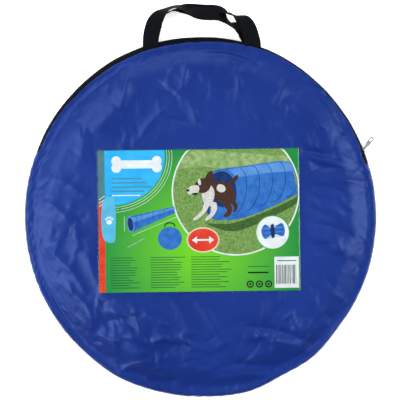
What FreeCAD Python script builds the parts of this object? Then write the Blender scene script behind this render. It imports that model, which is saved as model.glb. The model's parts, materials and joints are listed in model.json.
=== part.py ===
"""Pop-up dog agility tunnel packed in its round zipped carry bag, lying flat on a floor.

Millimetres. +Z is up, out of the label side. +Y points to the carry handles, +X to the right.
The origin is the centre of the bag's round back panel, on the face that rests on the floor.
"""
import FreeCAD, Part
import math
import os

from FreeCAD import Vector

os.makedirs("parts", exist_ok=True)

# Bag
PANEL_R = 258.0  # radius at which both round panels are sewn to the side
BULGE_R = 262.0  # radius of the side at half height
CLOTH = 1.0  # cloth with its seam allowance
SEAM_Z = 30.0  # height of the front seam
TOP_Z = 37.0  # outer height of the front panel
TOP_FLAT_R = 225.0  # radius where the front starts to round off
FOLD_Y = 115.0  # the front folds back along this line
FOLD_GAP = 0.2

# Zip, which runs over the top half of the side
ZIP_START = 17.0
ZIP_END = 159.0
COIL_START = 18.0
COIL_END = 158.0
TAPE_T = 0.6
COIL_MID_Z = 15.8
COIL_GAP = 1.0
COIL_H = 1.8
COIL_R = (261.0, 263.0)
STOP_WIDTH = 0.6  # degrees of arc
STOP_R = (261.8, 263.6)

# Slider and pull tab
SLIDER_AT = 22.8  # degrees round the rim
SLIDER_LONG = 12.5
SLIDER_WIDE = 8.6
INNER_PLATE = (259.6, 260.4)
OUTER_PLATE = (263.6, 264.6)
WEB_T = 0.6
WEB_LONG = 4.0
PIN_AT_R = 267.2
PIN_R = 0.8
EYE_CLEARANCE = 0.1
TAB_T = 1.2
TAB_LONG = 17.0
TAB_HEADING = 53.0  # degrees from +X
TAB_EYE_R = 2.3
TAB_END_R = 3.25
TAB_HOLE_R = 1.4

# Carry handles of flat webbing
WEB_W = 24.0
STRAP_T = 1.2
LEG_X = 75.0
STRAP_ROOT_Y = 258.2
STITCH_END_Y = 257.7
STITCH_START_Y = 240.0
LOOP_LONG = 58.0
FRONT_STRAP_TOP_Z = 31.0
FRONT_DROOP = 16.0  # degrees
HANDLE_AXIS_Y = 257.95

# Card under a clear film
CARD_SIZE = (297.0, 210.0, 0.3)
CARD_CENTRE = (-2.0, -5.0)
CARD_TURN = 0.7  # degrees
FILM_T = 0.2
FILM_MARGIN = 1.8

# Collapsed tunnel
SKIN_R = (140.0, 224.0)
SKIN_LAYERS = 20
SKIN_Z = 3.25
SKIN_STEP = 1.3
SKIN_T = 0.4
WIRE_R = 226.0
WIRE_D = 2.0
WIRE_PITCH = 2.4
WIRE_TURNS = 9.5
WIRE_Z = 4.3
CASING_R = (227.6, 228.2)
CASING_Z = (3.0, 28.45)
HEM_R = (190.0, 228.2)
HEM_T = 0.6
RIBBON_W = 15.0
RIBBON_T = 0.7
RIBBON_R = (136.5, 229.2)
RIBBON_Z = (1.5, 29.9)
RIBBON_ANGLES = (45.0, 135.0, 225.0, 315.0)
LOOP_ANGLES = (90.0, 210.0, 330.0)
LOOP_SIZE = (14.0, 24.0, 1.0)

# Ground pegs, bundled in the tunnel's hollow
PEG_COUNT = 6
PEG_D = 4.0
PEG_LONG = 150.0
PEG_POINT = 12.0
PEG_GAP = 6.0
PEG_Z = 4.2
PEG_HOOK_R = 5.0
BAND_W = 12.0
BAND_T = 0.8
BAND_X = 10.0

Z_AXIS = Vector(0, 0, 1)
X_AXIS = Vector(1, 0, 0)
ORIGIN = Vector(0, 0, 0)


def save(name, shape):
    """Write one node."""
    if not shape.isValid():
        raise ValueError(name)
    shape.exportStep(f"parts/{name}.step")
    print(f"{name:24s} solids {len(shape.Solids)}  volume {shape.Volume:12.1f}")


def turned(profile, start=0.0, sweep=360.0):
    """Turn a face in the XZ plane about Z, beginning at an angle from +X."""
    solid = profile.revolve(ORIGIN, Z_AXIS, sweep)
    solid.rotate(ORIGIN, Z_AXIS, start)
    return solid


def closed_face(points):
    """A flat face in the XZ plane from (radius, height) corners."""
    corners = [Vector(r, 0, z) for r, z in points]
    return Part.Face(Part.makePolygon(corners + corners[:1]))


def ring(inner, outer, low, high, start=0.0, sweep=360.0):
    """A flat or upright ring, whole or in part."""
    face = closed_face([(inner, low), (outer, low), (outer, high), (inner, high)])
    return turned(face, start, sweep)


def arc_strip(low, middle, high, thickness):
    """A face in the XZ plane that follows an arc through three (radius, height) points."""
    outer = Part.Arc(*[Vector(r, 0, z) for r, z in (low, middle, high)]).toShape()
    inner = Part.Arc(*[Vector(r - thickness, 0, z) for r, z in (low, middle, high)]).toShape()
    ends = [
        Part.makeLine(Vector(low[0], 0, low[1]), Vector(low[0] - thickness, 0, low[1])),
        Part.makeLine(Vector(high[0], 0, high[1]), Vector(high[0] - thickness, 0, high[1])),
    ]
    return Part.Face(Part.Wire(Part.__sortEdges__([outer, inner] + ends)))


def side_radius(z):
    """Outer radius of the side at a height, on the arc between the two seams."""
    middle = (CLOTH + SEAM_Z) / 2
    half = (SEAM_Z - CLOTH) / 2
    return BULGE_R - (BULGE_R - PANEL_R) * ((z - middle) / half) ** 2


def beyond(y):
    """A large block that holds everything past a line of constant Y."""
    return Part.makeBox(1200, 1200, 400, Vector(-600, y, -200))


# Bag


def shoulder(rim_r, rim_z, top_z):
    """An arc that leaves the flat top level and comes down to the rim."""
    run = rim_r - TOP_FLAT_R
    drop = top_z - rim_z
    radius = (run**2 + drop**2) / (2 * drop)
    middle_z = top_z - radius + (radius**2 - (run / 2) ** 2) ** 0.5
    return Part.Arc(
        Vector(rim_r, 0, rim_z),
        Vector(TOP_FLAT_R + run / 2, 0, middle_z),
        Vector(TOP_FLAT_R, 0, top_z),
    ).toShape()


def front_shell():
    """The whole front of the bag: flat in the middle, rounded down to the seam."""
    outer = shoulder(PANEL_R, SEAM_Z, TOP_Z)
    inner = shoulder(PANEL_R - CLOTH, SEAM_Z, TOP_Z - CLOTH)
    straight = [
        (Vector(TOP_FLAT_R, 0, TOP_Z), Vector(0, 0, TOP_Z)),
        (Vector(0, 0, TOP_Z), Vector(0, 0, TOP_Z - CLOTH)),
        (Vector(0, 0, TOP_Z - CLOTH), Vector(TOP_FLAT_R, 0, TOP_Z - CLOTH)),
        (Vector(PANEL_R - CLOTH, 0, SEAM_Z), Vector(PANEL_R, 0, SEAM_Z)),
    ]
    edges = [outer, inner] + [Part.makeLine(a, b) for a, b in straight]
    return turned(Part.Face(Part.Wire(Part.__sortEdges__(edges))))


def bag():
    save("back_panel", Part.makeCylinder(PANEL_R, CLOTH))
    middle = (CLOTH + SEAM_Z) / 2
    side = arc_strip((PANEL_R, CLOTH), (BULGE_R, middle), (PANEL_R, SEAM_Z), CLOTH)
    save("gusset", turned(side, ZIP_END, 360.0 - ZIP_END + ZIP_START))
    shell = front_shell()
    save("front_panel", shell.cut(beyond(FOLD_Y - FOLD_GAP)))
    save("front_flap", shell.common(beyond(FOLD_Y)))


# Zip


def zip_band():
    """Two tapes with a coil on each, facing outwards along the side."""
    sweep = ZIP_END - ZIP_START
    coil_sweep = COIL_END - COIL_START
    half = COIL_GAP / 2
    low_coil = (COIL_MID_Z - half - COIL_H, COIL_MID_Z - half)
    high_coil = (COIL_MID_Z + half, COIL_MID_Z + half + COIL_H)

    def tape(low, high):
        points = [(side_radius(z), z) for z in (low, (low + high) / 2, high)]
        return turned(arc_strip(*points, TAPE_T), ZIP_START, sweep)

    back_tape = tape(CLOTH, low_coil[0])
    front_tape = tape(high_coil[1], SEAM_Z)
    back_coil = ring(*COIL_R, *low_coil, COIL_START, coil_sweep)
    front_coil = ring(*COIL_R, *high_coil, COIL_START, coil_sweep)
    fixed = FOLD_Y - FOLD_GAP
    save("zip_tape_back", back_tape)
    save("zip_coil_back", back_coil)
    save("zip_tape_front", front_tape.common(beyond(FOLD_Y)))
    save("zip_coil_front", front_coil.common(beyond(FOLD_Y)))
    ends = front_tape.fuse(front_coil).cut(beyond(fixed))
    halves = {"right": [], "left": []}
    for solid in ends.Solids:
        halves["right" if solid.CenterOfMass.x > 0 else "left"].append(solid)
    for where, solids in halves.items():
        save(f"zip_front_end_{where}", Part.makeCompound(solids))
    for name, start in (("zip_top_stop", ZIP_START + 0.1), ("zip_bottom_stop", ZIP_END - 0.7)):
        save(name, ring(*STOP_R, low_coil[0] + 0.4, high_coil[1] - 0.4, start, STOP_WIDTH))


def at_slider(shape):
    """Turn a shape made at angle 0 to where the slider stands."""
    shape.rotate(ORIGIN, Z_AXIS, SLIDER_AT)
    return shape


def slider():
    """Two plates joined by a web between the coils, with two lugs that hold the tab's pin."""
    width = math.degrees(SLIDER_LONG / BULGE_R)
    web = math.degrees(WEB_LONG / BULGE_R)
    low = COIL_MID_Z - SLIDER_WIDE / 2
    high = COIL_MID_Z + SLIDER_WIDE / 2
    inner = ring(*INNER_PLATE, low, high, -width / 2, width)
    outer = ring(*OUTER_PLATE, low, high, -width / 2, width)
    bridge = ring(
        INNER_PLATE[0] + 0.2,
        OUTER_PLATE[1] - 0.2,
        COIL_MID_Z - WEB_T / 2,
        COIL_MID_Z + WEB_T / 2,
        -web / 2,
        web,
    )
    lug_reach = PIN_AT_R - OUTER_PLATE[0]
    body = inner.fuse([outer, bridge])
    for z in (COIL_MID_Z - 2.2, COIL_MID_Z + 1.2):
        lug = Part.makeBox(lug_reach, 3.2, 1.0, Vector(OUTER_PLATE[0] + 0.3, -1.6, z))
        nose = Part.makeCylinder(1.6, 1.0, Vector(PIN_AT_R, 0, z))
        body = body.fuse([lug, nose])
    pin = Part.makeCylinder(PIN_R, 3.4, Vector(PIN_AT_R, 0, COIL_MID_Z - 1.7))
    save("zip_slider", at_slider(body.fuse(pin).removeSplitter()))


def pull_tab():
    """A flat tab that narrows to an eye round the slider's pin, with a hole near its end."""
    low = COIL_MID_Z - TAB_T / 2
    lean = math.asin((TAB_END_R - TAB_EYE_R) / TAB_LONG)
    s, c = math.sin(lean), math.cos(lean)

    def side(sign):
        eye = Vector(-TAB_EYE_R * s, sign * TAB_EYE_R * c, low)
        end = Vector(TAB_LONG - TAB_END_R * s, sign * TAB_END_R * c, low)
        return eye, end

    (eye_a, end_a), (eye_b, end_b) = side(1), side(-1)
    edges = [
        Part.Arc(eye_a, Vector(-TAB_EYE_R, 0, low), eye_b).toShape(),
        Part.makeLine(eye_b, end_b),
        Part.Arc(end_b, Vector(TAB_LONG + TAB_END_R, 0, low), end_a).toShape(),
        Part.makeLine(end_a, eye_a),
    ]
    plate = Part.Face(Part.Wire(edges)).extrude(Vector(0, 0, TAB_T))
    eye = Part.makeCylinder(PIN_R + EYE_CLEARANCE, TAB_T, Vector(0, 0, low))
    hole = Part.makeCylinder(TAB_HOLE_R, TAB_T, Vector(TAB_LONG - 0.4, 0, low))
    tab = plate.cut([eye, hole])
    tab.rotate(ORIGIN, Z_AXIS, TAB_HEADING - SLIDER_AT)
    tab.translate(Vector(PIN_AT_R, 0, 0))
    save("zip_pull_tab", at_slider(tab))


# Handles


def strap_loop(top_z):
    """A flat strap bent into a wide low loop, with both legs starting at the rim."""
    half = WEB_W / 2
    base, crown = STRAP_ROOT_Y, STRAP_ROOT_Y + LOOP_LONG
    low = top_z - STRAP_T

    def side(offset, shoulder, turn, top_x):
        """The line up a leg and its corner: offset is from the strap's middle line."""
        reach = crown if offset > 0 else crown - WEB_W
        foot = Vector(LEG_X + offset, base, low)
        knee = Vector(shoulder, reach - turn, low)
        top = Vector(top_x, reach, low)
        middle = Vector(shoulder - 0.32 * (shoulder - top_x), reach - 0.29 * turn, low)
        return foot, knee, middle, top

    def mirrored(p):
        return Vector(-p.x, p.y, p.z)

    outer = side(half, 78.0, 26.0, 46.0)
    inner = side(-half, 56.0, 10.0, 42.0)
    edges = []
    for foot, knee, middle, top in (outer, inner):
        for flip in (lambda p: p, mirrored):
            edges.append(Part.makeLine(flip(foot), flip(knee)))
            edges.append(Part.Arc(flip(knee), flip(middle), flip(top)).toShape())
        edges.append(Part.makeLine(top, mirrored(top)))
    for flip in (lambda p: p, mirrored):
        edges.append(Part.makeLine(flip(outer[0]), flip(inner[0])))
    wire = Part.Wire(Part.__sortEdges__(edges))
    return Part.Face(wire).extrude(Vector(0, 0, STRAP_T))


def strap_ends(top_z):
    """The sewn ends of one strap, from the seam to where the strap starts to swing."""
    long = STITCH_END_Y - STITCH_START_Y
    rim = Part.makeCylinder(PANEL_R + 0.4, 100, Vector(0, 0, -50))
    ends = []
    for x in (-LEG_X, LEG_X):
        corner = Vector(x - WEB_W / 2, STITCH_START_Y, top_z - STRAP_T)
        ends.append(Part.makeBox(WEB_W, long, STRAP_T, corner).cut(rim).Solids[0])
    return Part.makeCompound(ends)


def handles():
    front = strap_loop(FRONT_STRAP_TOP_Z)
    front.rotate(Vector(0, HANDLE_AXIS_Y, FRONT_STRAP_TOP_Z), X_AXIS, -FRONT_DROOP)
    save("handle_front", front)
    save("handle_back", strap_loop(STRAP_T))
    save("handle_front_ends", strap_ends(FRONT_STRAP_TOP_Z))
    save("handle_back_ends", strap_ends(STRAP_T))


# Label


def label():
    long, high, thick = CARD_SIZE
    low = Vector(-long / 2, -high / 2, 0)
    card = Part.makeBox(long, high, thick, low)
    margin = Vector(FILM_MARGIN, FILM_MARGIN, 0)
    film = Part.makeBox(
        long + 2 * FILM_MARGIN, high + 2 * FILM_MARGIN, thick + FILM_T, low - margin
    ).cut(card)
    for name, shape in (("label_card", card), ("label_film", film)):
        shape.rotate(ORIGIN, Z_AXIS, CARD_TURN)
        shape.translate(Vector(*CARD_CENTRE, TOP_Z))
        save(name, shape)


# Collapsed tunnel


def spring_wire():
    """One round wire wound in close turns, each half turn a flat arc on a slight slope."""
    climb = WIRE_PITCH / 2
    halves = []
    for n in range(round(WIRE_TURNS * 2)):
        side = 1 if n % 2 == 0 else -1
        low = WIRE_Z + n * climb
        start = Vector(side * WIRE_R, 0, low)
        section = Part.Face(Part.Wire(Part.makeCircle(WIRE_D / 2, start, Vector(0, 1, 0))))
        axis = Vector(side * climb / 2, 0, WIRE_R)
        halves.append(section.revolve(Vector(0, 0, low + climb / 2), axis, 180.0))
    return halves[0].fuse(halves[1:])


def pleats():
    """The fabric tube folded in flat layers, joined in turn at the outer and inner edge."""
    inner, outer = SKIN_R
    layers = [
        ring(inner, outer, z, z + SKIN_T)
        for z in (SKIN_Z + n * SKIN_STEP for n in range(SKIN_LAYERS))
    ]
    folds = []
    for n in range(SKIN_LAYERS - 1):
        low = SKIN_Z + n * SKIN_STEP
        edge = outer - SKIN_T if n % 2 == 0 else inner
        folds.append(ring(edge, edge + SKIN_T, low, low + SKIN_STEP + SKIN_T))
    return layers[0].fuse(layers[1:] + folds).removeSplitter()


def tie_ribbon(angle):
    """A ribbon tied round the folded layers, seen as a flat rectangular loop."""
    (r0, r1), (z0, z1) = RIBBON_R, RIBBON_Z
    outer = Part.makeBox(r1 - r0, RIBBON_W, z1 - z0, Vector(r0, -RIBBON_W / 2, z0))
    inner = Part.makeBox(
        r1 - r0 - 2 * RIBBON_T,
        RIBBON_W,
        z1 - z0 - 2 * RIBBON_T,
        Vector(r0 + RIBBON_T, -RIBBON_W / 2, z0 + RIBBON_T),
    )
    loop = outer.cut(inner)
    loop.rotate(ORIGIN, Z_AXIS, angle)
    return loop


def peg_loop(angle, low):
    """A small flat webbing loop at a hem's inner edge, open in the middle for a peg."""
    wide, long, thick = LOOP_SIZE
    start = HEM_R[0] - long
    plate = Part.makeBox(long, wide, thick, Vector(start, -wide / 2, low))
    slot = Part.makeBox(long - 10, wide - 7, thick, Vector(start + 3, -(wide - 7) / 2, low))
    hem_edge = Part.makeCylinder(HEM_R[0] + 10, 100, Vector(0, 0, -50))
    hem_edge = hem_edge.cut(Part.makeCylinder(HEM_R[0], 100, Vector(0, 0, -50)))
    loop = plate.cut([slot, hem_edge])
    loop.rotate(ORIGIN, Z_AXIS, angle)
    return loop


def tunnel():
    save("spring_wire", spring_wire())
    save("tunnel_skin", pleats())
    save("wire_casing", ring(*CASING_R, *CASING_Z))
    low_hem = CASING_Z[0] - HEM_T
    high_hem = CASING_Z[1]
    save("end_hem_back", ring(*HEM_R, low_hem, low_hem + HEM_T))
    save("end_hem_front", ring(*HEM_R, high_hem, high_hem + HEM_T))
    for n, angle in enumerate(RIBBON_ANGLES, 1):
        save(f"tie_ribbon_{n}", tie_ribbon(angle))
    skin_top = high_hem - 0.05
    skin_bottom = SKIN_Z - LOOP_SIZE[2] - 0.05
    places = [(angle, skin_top) for angle in LOOP_ANGLES]
    places += [(angle, skin_bottom) for angle in LOOP_ANGLES]
    for n, (angle, low) in enumerate(places, 1):
        save(f"peg_loop_{n}", peg_loop(angle, low))


def peg(y):
    """A ground peg: a pointed rod whose other end is bent over into a hook."""
    r = PEG_D / 2
    start, end = -PEG_LONG / 2, PEG_LONG / 2
    rod = Part.makeCylinder(r, PEG_LONG - PEG_POINT, Vector(start + PEG_POINT, y, PEG_Z), X_AXIS)
    point = Part.makeCone(0.4, r, PEG_POINT, Vector(start, y, PEG_Z), X_AXIS)
    bend = Part.makeTorus(PEG_HOOK_R, r, ORIGIN, Vector(0, 1, 0))
    half = Part.makeBox(40, 40, 40, Vector(0, -20, -20))
    bend = bend.common(half)
    bend.translate(Vector(end, y, PEG_Z + PEG_HOOK_R))
    tip = Part.makeCylinder(r, 8, Vector(end - 8, y, PEG_Z + 2 * PEG_HOOK_R), X_AXIS)
    return rod.fuse([point, bend, tip]).removeSplitter()


def pegs():
    for n in range(PEG_COUNT):
        save(f"peg_{n + 1}", peg((n - (PEG_COUNT - 1) / 2) * PEG_GAP))
    half = (PEG_COUNT - 1) / 2 * PEG_GAP + PEG_D / 2 + 0.2
    low, high = PEG_Z - PEG_D / 2 - 0.1, PEG_Z + PEG_D / 2 + 0.1
    outer = Part.makeBox(
        BAND_W,
        2 * (half + BAND_T),
        high - low + 2 * BAND_T,
        Vector(BAND_X, -half - BAND_T, low - BAND_T),
    )
    inner = Part.makeBox(BAND_W, 2 * half, high - low, Vector(BAND_X, -half, low))
    save("peg_band", outer.cut(inner))


bag()
zip_band()
slider()
pull_tab()
handles()
label()
tunnel()
pegs()
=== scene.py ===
import json
import math

import bmesh
import bpy
import numpy as np
from mathutils import Matrix, Vector
from mathutils.bvhtree import BVHTree


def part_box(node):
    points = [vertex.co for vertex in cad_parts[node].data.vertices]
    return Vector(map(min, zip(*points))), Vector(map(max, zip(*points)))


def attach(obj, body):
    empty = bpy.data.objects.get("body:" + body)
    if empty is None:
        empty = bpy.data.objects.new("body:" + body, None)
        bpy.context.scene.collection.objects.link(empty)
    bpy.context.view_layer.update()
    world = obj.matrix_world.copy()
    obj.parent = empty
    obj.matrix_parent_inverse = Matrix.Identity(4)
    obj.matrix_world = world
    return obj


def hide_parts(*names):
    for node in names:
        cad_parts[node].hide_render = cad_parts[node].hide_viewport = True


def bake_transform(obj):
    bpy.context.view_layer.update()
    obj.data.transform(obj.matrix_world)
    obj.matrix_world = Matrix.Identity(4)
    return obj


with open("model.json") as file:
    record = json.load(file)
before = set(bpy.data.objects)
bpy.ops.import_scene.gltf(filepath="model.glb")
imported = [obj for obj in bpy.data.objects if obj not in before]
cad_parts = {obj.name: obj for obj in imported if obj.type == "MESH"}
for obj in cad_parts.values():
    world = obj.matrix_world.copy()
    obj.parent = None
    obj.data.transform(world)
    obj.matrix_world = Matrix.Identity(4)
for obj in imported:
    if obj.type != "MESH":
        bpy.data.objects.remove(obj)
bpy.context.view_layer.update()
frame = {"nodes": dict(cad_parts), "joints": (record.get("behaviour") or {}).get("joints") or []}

# Sizes and places in metres. Those of CAD nodes are read from the frame.
MM = 0.001
RIM_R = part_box("gusset")[1].x
SEAM_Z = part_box("gusset")[1].z
TOP_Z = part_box("front_panel")[1].z
COIL_MID = (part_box("zip_coil_back")[0].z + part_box("zip_coil_front")[1].z) / 2
LABEL_LOW, LABEL_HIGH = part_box("label_card")
LABEL_MID = (LABEL_LOW + LABEL_HIGH) / 2
LABEL_TURN = math.radians(0.7)
LABEL_W, LABEL_H = 0.297, 0.210
ZIP_FROM, ZIP_TO = math.radians(17), math.radians(159)
PIN = next(joint["pos_m"] for joint in frame["joints"] if joint["name"] == "pull_tab_swing")
SLIDER_AT, PIN_R = math.atan2(PIN[1], PIN[0]), math.hypot(PIN[0], PIN[1])
BACK_SEAM = 4.2 * MM
STRAP_WIDTH = 23.5 * MM
SEAM_TO_STITCHES = 4.2 * MM


# ---------------------------------------------------------------- helpers


def waves(seed, count, shortest, longest):
    """A smooth random height over a plane, about -1 to 1, from a few crossing waves."""
    rng = np.random.RandomState(seed)
    heading = rng.uniform(0, 2 * np.pi, count)
    number = 2 * np.pi / np.exp(rng.uniform(np.log(shortest), np.log(longest), count))
    phase = rng.uniform(0, 2 * np.pi, count)

    def height(x, y):
        total = 0
        for a, k, p in zip(heading, number, phase):
            total = total + np.sin(k * (x * np.cos(a) + y * np.sin(a)) + p)
        return total / math.sqrt(count)

    return height


def ring_waves(seed, lowest, highest):
    """A smooth random height round a circle, from whole numbers of waves."""
    rng = np.random.RandomState(seed)
    numbers = np.arange(lowest, highest + 1)
    size = rng.uniform(0.4, 1.0, len(numbers)) / math.sqrt(len(numbers) / 2)
    phase = rng.uniform(0, 2 * np.pi, len(numbers))
    return lambda angle: sum(s * np.sin(n * angle + p) for n, s, p in zip(numbers, size, phase))


def smooth(low, high, value):
    """A soft step from 0 at the low value to 1 at the high one."""
    t = np.clip((value - low) / (high - low), 0, 1)
    return t * t * (3 - 2 * t)


def bell(away, width):
    """A rounded rise of height 1 that fades with the distance from its middle."""
    return np.exp(-((away / width) ** 2))


def bumps(angle, start, unit, rises):
    """Rounded rises round the rim, each a height, an angle in degrees and a width, added to a start."""
    for rise, centre, width in rises:
        start = start + rise * unit * bell((np.degrees(angle) - centre + 180) % 360 - 180, width)
    return start


def round_turn(count):
    return np.linspace(0, 2 * np.pi, count, endpoint=False)


def polar(r, angle, z):
    """Points from radii, angles and heights, in one list."""
    return np.stack([r * np.cos(angle), r * np.sin(angle), z + 0 * angle], -1).reshape(-1, 3)


def spline(p0, p1, p2, p3, t):
    """A place on the smooth line from p1 to p2, with p0 before them and p3 after."""
    bend = (2 * p0 - 5 * p1 + 4 * p2 - p3) * t**2
    return 0.5 * (2 * p1 + (p2 - p0) * t + bend + (3 * p1 - p0 - 3 * p2 + p3) * t**3)


def linked(name, data):
    """A new object in the scene that holds some data."""
    obj = bpy.data.objects.new(name, data)
    bpy.context.collection.objects.link(obj)
    return obj


def smooth_shaded(mesh):
    mesh.polygons.foreach_set("use_smooth", [True] * len(mesh.polygons))


def read_points(mesh):
    points = np.empty(len(mesh.vertices) * 3)
    mesh.vertices.foreach_get("co", points)
    return points.reshape(-1, 3)


def write_points(mesh, points):
    mesh.vertices.foreach_set("co", points.ravel())
    mesh.update()


def mesh_object(name, points, faces, material=None, shade=True):
    mesh = bpy.data.meshes.new(name)
    points, faces = np.asarray(points, float).tolist(), [tuple(map(int, face)) for face in faces]
    mesh.from_pydata(points, [], faces)
    mesh.update()
    if material is not None:
        mesh.materials.append(material)
    if shade:
        smooth_shaded(mesh)
    return linked(name, mesh)


def grid_faces(rows, columns, wrap=False):
    """Quads over a grid of points stored row by row."""
    r, c = np.meshgrid(np.arange(rows - 1), np.arange(columns if wrap else columns - 1), indexing="ij")
    a = r * columns + c
    b = r * columns + (c + 1) % columns
    return np.stack([a, b, b + columns, a + columns], axis=-1).reshape(-1, 4)


def thicken(obj, thickness, offset=-1.0):
    """Give a sheet a thickness, on its inner side unless the offset says otherwise."""
    solid = obj.modifiers.new("thickness", "SOLIDIFY")
    solid.thickness = thickness
    solid.offset = offset
    return obj


def refined(obj):
    sub = obj.modifiers.new("refine", "SUBSURF")
    sub.levels = sub.render_levels = 1
    return obj


def final_mesh(obj):
    """A plain mesh of the shape that an object's modifiers give it."""
    return bpy.data.meshes.new_from_object(obj.evaluated_get(bpy.context.evaluated_depsgraph_get()))


def settle(obj):
    """Keep an object's final shape, without its modifiers."""
    mesh = final_mesh(obj)
    obj.modifiers.clear()
    obj.vertex_groups.clear()
    obj.data = mesh
    return obj


def cut_plate(name, outlines, thickness, bevel, material, frame_at):
    """A flat plate from closed outlines in millimetres, its edge and then its holes, laid in a frame."""
    shape = bpy.data.curves.new(name, "CURVE")
    shape.dimensions = "2D"
    shape.fill_mode = "BOTH"
    shape.extrude = thickness / 2 - bevel
    shape.bevel_depth = bevel
    shape.bevel_resolution = 2
    shape.offset = -bevel
    for outline in outlines:
        line = shape.splines.new("POLY")
        line.points.add(len(outline) - 1)
        for point, (u, v) in zip(line.points, outline):
            point.co = (u, v, 0, 1)
        line.use_cyclic_u = True
    drawn = linked(name + "_outline", shape)
    mesh = final_mesh(drawn)
    bpy.data.objects.remove(drawn)
    mesh.transform(frame_at @ Matrix.Scale(MM, 4))
    mesh.name = name
    mesh.materials.clear()
    mesh.materials.append(material)
    return linked(name, mesh)


def axes(origin, x, y):
    """A frame with its first two directions given."""
    x, y = Vector(x).normalized(), Vector(y).normalized()
    z = x.cross(y)
    matrix = Matrix((x, y, z)).transposed().to_4x4()
    matrix.translation = origin
    return matrix


def written(name, shape):
    """A mesh from a bmesh, which is then let go."""
    mesh = bpy.data.meshes.new(name)
    shape.to_mesh(mesh)
    shape.free()
    return mesh


def merged(name, parts, materials):
    """One object from several meshes."""
    whole = bmesh.new()
    for part in parts:
        whole.from_mesh(part)
        bpy.data.meshes.remove(part)
    mesh = written(name, whole)
    for material in materials:
        mesh.materials.append(material)
    return linked(name, mesh)


def joined(name, pieces):
    """One object from several that move together and share one material."""
    parts, material = [final_mesh(piece) for piece in pieces], pieces[0].data.materials[0]
    for piece in pieces:
        bpy.data.objects.remove(piece)
    return merged(name, parts, [material])


def stands_for(obj, nodes, body):
    """Show a piece in place of CAD nodes, riding their body."""
    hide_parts(*nodes.split())
    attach(obj, body)


# ---------------------------------------------------------------- materials


class Tree:
    """Short calls for a material's nodes. A value may be a number, a colour or another node's output."""

    def __init__(self, name):
        self.material = bpy.data.materials.new(name)
        self.material.use_nodes = True
        self.nodes = self.material.node_tree.nodes
        self.links = self.material.node_tree.links
        self.nodes.clear()
        self.place = self.add("TexCoord").outputs["Object"]

    def add(self, kind, settings=None, **values):
        """A node with its input values, given by name or, as i0 and so on, by place."""
        node = self.nodes.new("ShaderNode" + kind)
        for key, value in (settings or {}).items():
            setattr(node, key, value)
        for key, value in values.items():
            place = int(key[1:]) if key[0] == "i" and key[1:].isdigit() else key.replace("_", " ")
            socket = node.inputs[place]
            if isinstance(value, bpy.types.NodeSocket):
                self.links.new(value, socket)
            else:
                socket.default_value = value
        return node

    def math(self, operation, *values):
        settings = {"operation": operation}
        return self.add("Math", settings, **{f"i{n}": v for n, v in enumerate(values)}).outputs[0]

    def times(self, *values):
        return self.math("MULTIPLY", *values)

    def plus(self, *values):
        return self.math("ADD", *values)

    def noise(self, scale, detail=2.0, roughness=0.5):
        values = {"Vector": self.place, "Scale": scale, "Detail": detail, "Roughness": roughness}
        return self.add("TexNoise", None, **values).outputs[0]

    def spread(self, value, low, high, to_low=0.0, to_high=1.0):
        return self.add("MapRange", None, i0=value, i1=low, i2=high, i3=to_low, i4=to_high).outputs[0]

    def mix(self, factor, a, b, blend="MIX"):
        settings = {"data_type": "RGBA", "blend_type": blend}
        return self.add("Mix", settings, i0=factor, i6=a, i7=b).outputs[2]

    def relief(self, height, strength):
        """A bumpy normal from a height in metres."""
        return self.add("Bump", None, Strength=strength, Distance=1.0, Height=height).outputs[0]

    def finish(self, **values):
        shader = self.add("BsdfPrincipled", None, **values)
        self.add("OutputMaterial", None, Surface=shader.outputs[0])
        return self.material

    def printed(self, shade, roughness):
        """Ink, which soaks up a good part of the light that the bare board would give back."""
        inked = self.mix(1.0, shade, (0.7, 0.7, 0.74, 1.0), "MULTIPLY")
        return self.finish(Base_Color=inked, Roughness=roughness, Specular_IOR_Level=0.1)


def linear(red, green, blue):
    """A colour given in everyday 0-255 numbers, as the renderer wants it."""
    shares = (red / 255, green / 255, blue / 255)
    return tuple(((c + 0.055) / 1.055) ** 2.4 if c > 0.04045 else c / 12.92 for c in shares) + (1.0,)


def woven(name, colour, pale, thread, relief, roughness, sheen=0.0, wrinkle=0.0, shine=0.4):
    """Plain woven cloth: two crossed sets of threads, cloudy shade and a little fuzz."""
    t = Tree(name)
    x, y, z = t.add("SeparateXYZ", None, Vector=t.place).outputs
    lean = t.times(z, 0.7)
    threads = [t.times(t.plus(v, lean), 2 * math.pi / thread) for v in (x, y)]
    weave = t.times(*[t.math("SINE", v) for v in threads])
    cloud = t.noise(9.0, 4.0)
    fine = t.noise(900.0, 2.0)
    shade = t.mix(t.spread(cloud, 0.3, 0.7), linear(*colour), linear(*pale))
    shade = t.mix(t.spread(weave, -1, 1, 0.0, 0.12), shade, linear(*[c * 0.55 for c in colour]))
    height = t.plus(t.times(weave, relief), t.times(fine, relief * 0.6))
    if wrinkle:
        small = t.math("ABSOLUTE", t.math("SUBTRACT", t.noise(34.0, 2.5, 0.5), 0.5))
        height = t.plus(height, t.times(small, wrinkle))
    mottle = t.plus(cloud, t.times(fine, 0.3))
    rough = t.spread(mottle, 0.3, 1.0, roughness - 0.06, roughness + 0.08)
    return t.finish(
        Base_Color=shade, Roughness=rough, Normal=t.relief(height, 0.6), Sheen_Weight=sheen,
        Sheen_Roughness=0.35, Sheen_Tint=linear(*pale), Specular_IOR_Level=shine,
        Specular_Tint=(*[0.22 + 0.78 * c / max(pale) for c in pale], 1.0),
    )


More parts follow.
